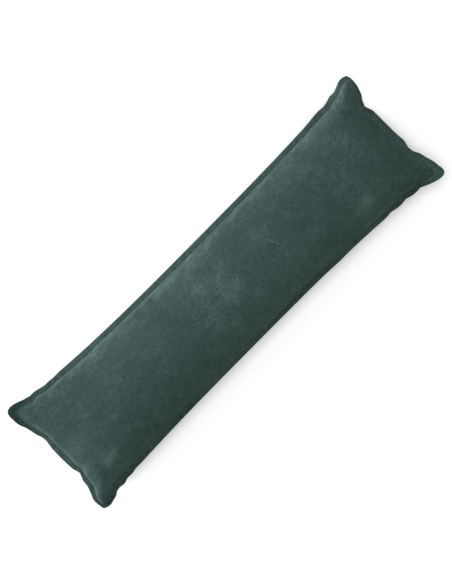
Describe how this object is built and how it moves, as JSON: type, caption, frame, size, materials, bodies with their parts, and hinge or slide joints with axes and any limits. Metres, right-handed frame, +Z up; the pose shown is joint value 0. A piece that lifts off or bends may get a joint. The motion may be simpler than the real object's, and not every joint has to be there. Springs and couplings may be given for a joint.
{
  "type": "lumbar pillow",
  "caption": "Extra-long lumbar pillow in dark green suede-like cloth, softly filled, with drawn-in sides, pointed corners and a narrow stitched flange.",
  "frame": {"origin": "on the surface that the pillow lies on, under the middle of its length and width", "axes": "+X along the length, +Y across the width, +Z up out of the front face"},
  "size_m": [1.2194, 0.3558, 0.145],
  "materials": {
    "face_cloth": "brushed suede-like nap, softly mottled",
    "flange_cloth": "the same suede-like cloth, doubled and pressed flat",
    "thread": "matching spun polyester sewing thread"
  },
  "bodies": {
    "root": {"cushion": "face_cloth", "flange": "flange_cloth"}
  },
  "joints": []
}
